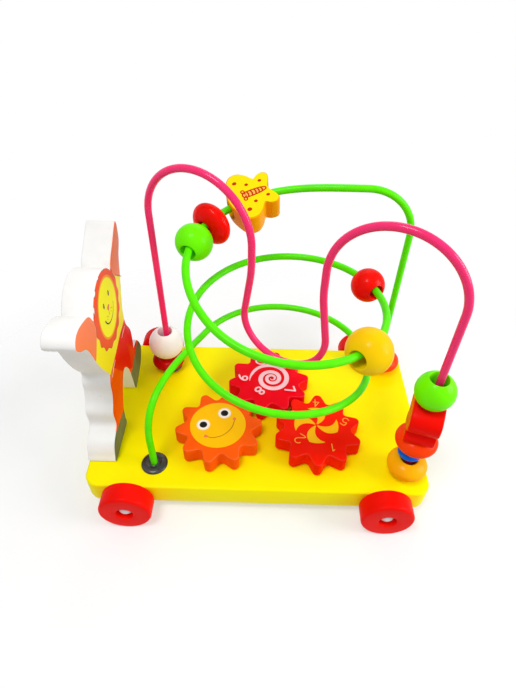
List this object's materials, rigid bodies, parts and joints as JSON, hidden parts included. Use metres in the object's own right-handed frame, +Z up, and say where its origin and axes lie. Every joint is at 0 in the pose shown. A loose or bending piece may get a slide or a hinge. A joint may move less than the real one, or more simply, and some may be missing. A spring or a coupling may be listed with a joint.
{
  "type": "bead maze",
  "caption": "Wooden bead maze on a wheeled board: two bent wires carry beads and butterfly blocks above meshing gears, with a standing lion at one end.",
  "frame": {"origin": "On the floor under the middle of the board", "axes": "+X along the board away from the lion, which looks along +X; +Y to the rear of the board; +Z up"},
  "size_m": [0.2, 0.1434, 0.176],
  "materials": {
    "board_yellow": "gloss lacquer",
    "wheel_red": "gloss lacquer",
    "pin_grey": "smooth",
    "gear_orange": "gloss lacquer",
    "gear_red": "gloss lacquer",
    "gear_crimson": "gloss lacquer",
    "lion_white": "lacquer with a printed face",
    "bare_wood": "bare",
    "washer_ivory": "smooth",
    "wire_pink": "gloss plastic coat",
    "wire_green": "gloss plastic coat",
    "plug_black": "smooth",
    "bead_red": "gloss lacquer",
    "bead_yellow": "gloss lacquer",
    "bead_green": "gloss lacquer",
    "bead_white": "gloss lacquer",
    "bead_dark_red": "gloss lacquer",
    "bead_orange": "gloss lacquer",
    "bead_amber": "gloss lacquer",
    "bead_blue": "gloss lacquer",
    "butterfly_yellow": "lacquer with a printed face",
    "block_red": "lacquer with a printed face"
  },
  "bodies": {
    "cart": {"board": "board_yellow", "lion_figure": "lion_white", "lion_dowels": "bare_wood", "pink_wire": "wire_pink", "green_wire": "wire_green", "front_left_wheel_pin": "pin_grey", "front_left_plug": "plug_black", "front_right_wheel_pin": "pin_grey", "front_right_plug": "plug_black", "rear_left_wheel_pin": "pin_grey", "rear_left_plug": "plug_black", "rear_right_wheel_pin": "pin_grey", "rear_right_plug": "plug_black", "sun_gear_peg": "bare_wood", "sun_gear_washer": "washer_ivory", "pinwheel_gear_peg": "bare_wood", "pinwheel_gear_washer": "washer_ivory", "spiral_gear_peg": "bare_wood", "spiral_gear_washer": "washer_ivory"},
    "front_left_wheel": {"front_left_wheel": "wheel_red"},
    "front_right_wheel": {"front_right_wheel": "wheel_red"},
    "rear_left_wheel": {"rear_left_wheel": "wheel_red"},
    "rear_right_wheel": {"rear_right_wheel": "wheel_red"},
    "sun_gear": {"sun_gear": "gear_orange"},
    "pinwheel_gear": {"pinwheel_gear": "gear_red"},
    "spiral_gear": {"spiral_gear": "gear_crimson"},
    "coil_red_ball": {"coil_red_ball": "bead_red"},
    "coil_yellow_ball": {"coil_yellow_ball": "bead_yellow"},
    "top_green_ball": {"top_green_ball": "bead_green"},
    "top_red_bead": {"top_red_bead": "bead_red"},
    "butterfly_block": {"butterfly_block": "butterfly_yellow"},
    "rear_dark_red_bead": {"rear_dark_red_bead": "bead_dark_red"},
    "rear_white_ball": {"rear_white_ball": "bead_white"},
    "rear_orange_bead": {"rear_orange_bead": "bead_orange"},
    "stack_amber_bead": {"stack_amber_bead": "bead_amber"},
    "stack_blue_bead": {"stack_blue_bead": "bead_blue"},
    "stack_scarlet_bead": {"stack_scarlet_bead": "bead_orange"},
    "stack_red_block": {"stack_red_block": "block_red"},
    "stack_green_ball": {"stack_green_ball": "bead_green"}
  },
  "joints": [
    {"name": "front_left_wheel_roll", "type": "hinge", "parent": "cart", "child": "front_left_wheel", "pos_m": [-0.074, -0.0657, 0.015], "axis": [0, 1, 0], "continuous": true},
    {"name": "front_right_wheel_roll", "type": "hinge", "parent": "cart", "child": "front_right_wheel", "pos_m": [0.074, -0.0657, 0.015], "axis": [0, 1, 0], "continuous": true},
    {"name": "rear_left_wheel_roll", "type": "hinge", "parent": "cart", "child": "rear_left_wheel", "pos_m": [-0.074, 0.0657, 0.015], "axis": [0, 1, 0], "continuous": true},
    {"name": "rear_right_wheel_roll", "type": "hinge", "parent": "cart", "child": "rear_right_wheel", "pos_m": [0.074, 0.0657, 0.015], "axis": [0, 1, 0], "continuous": true},
    {"name": "sun_gear_spin", "type": "hinge", "parent": "cart", "child": "sun_gear", "pos_m": [-0.024, -0.0222, 0.02895], "axis": [0, 0, 1], "continuous": true},
    {"name": "spiral_gear_spin", "type": "hinge", "parent": "cart", "child": "spiral_gear", "pos_m": [0.006, 0.01654, 0.02895], "axis": [0, 0, 1], "continuous": true},
    {"name": "pinwheel_gear_spin", "type": "hinge", "parent": "cart", "child": "pinwheel_gear", "pos_m": [0.036, -0.0222, 0.02895], "axis": [0, 0, 1], "continuous": true},
    {"name": "coil_red_ball_run", "type": "hinge", "parent": "cart", "child": "coil_red_ball", "pos_m": [0.01274, 0.00038, 0.11296], "axis": [0.0364, 0.0908, 0.9952], "range_deg": [-20, 25]},
    {"name": "coil_yellow_ball_run", "type": "hinge", "parent": "cart", "child": "coil_yellow_ball", "pos_m": [0.01274, 0.00038, 0.11296], "axis": [0.0364, 0.0908, 0.9952], "range_deg": [-8, 15]},
    {"name": "top_green_ball_run", "type": "hinge", "parent": "cart", "child": "top_green_ball", "pos_m": [0.0126, -0.00001, 0.1435], "axis": [-0.131, -0.1411, 0.9813], "range_deg": [0, 15]},
    {"name": "top_red_bead_run", "type": "hinge", "parent": "top_green_ball", "child": "top_red_bead", "pos_m": [0.0126, -0.00001, 0.1435], "axis": [-0.131, -0.1411, 0.9813], "range_deg": [-5, 0]},
    {"name": "butterfly_block_run", "type": "hinge", "parent": "top_red_bead", "child": "butterfly_block", "pos_m": [0.0126, -0.00001, 0.1435], "axis": [-0.131, -0.1411, 0.9813], "range_deg": [-6, 0]},
    {"name": "rear_dark_red_bead_lift", "type": "slide", "parent": "cart", "child": "rear_dark_red_bead", "axis": [0, 0, 1], "range_m": [0, 0.04]},
    {"name": "rear_white_ball_lift", "type": "slide", "parent": "rear_dark_red_bead", "child": "rear_white_ball", "axis": [0, 0, 1], "range_m": [0, 0.038]},
    {"name": "rear_orange_bead_lift", "type": "slide", "parent": "cart", "child": "rear_orange_bead", "axis": [0, 0, 1], "range_m": [0, 0.085]},
    {"name": "stack_amber_bead_lift", "type": "slide", "parent": "cart", "child": "stack_amber_bead", "axis": [0, 0, 1], "range_m": [0, 0.006]},
    {"name": "stack_blue_bead_lift", "type": "slide", "parent": "stack_amber_bead", "child": "stack_blue_bead", "axis": [0, 0, 1], "range_m": [0, 0.005]},
    {"name": "stack_scarlet_bead_lift", "type": "slide", "parent": "stack_blue_bead", "child": "stack_scarlet_bead", "axis": [0, 0, 1], "range_m": [0, 0.005]},
    {"name": "stack_red_block_lift", "type": "slide", "parent": "stack_scarlet_bead", "child": "stack_red_block", "axis": [0, 0, 1], "range_m": [0, 0.006]},
    {"name": "stack_green_ball_lift", "type": "slide", "parent": "stack_red_block", "child": "stack_green_ball", "axis": [0, 0, 1], "range_m": [0, 0.012]}
  ],
  "couplings": [
    {"joint": "spiral_gear_spin", "follows": "sun_gear_spin", "ratio": -1},
    {"joint": "pinwheel_gear_spin", "follows": "sun_gear_spin", "ratio": 1}
  ]
}
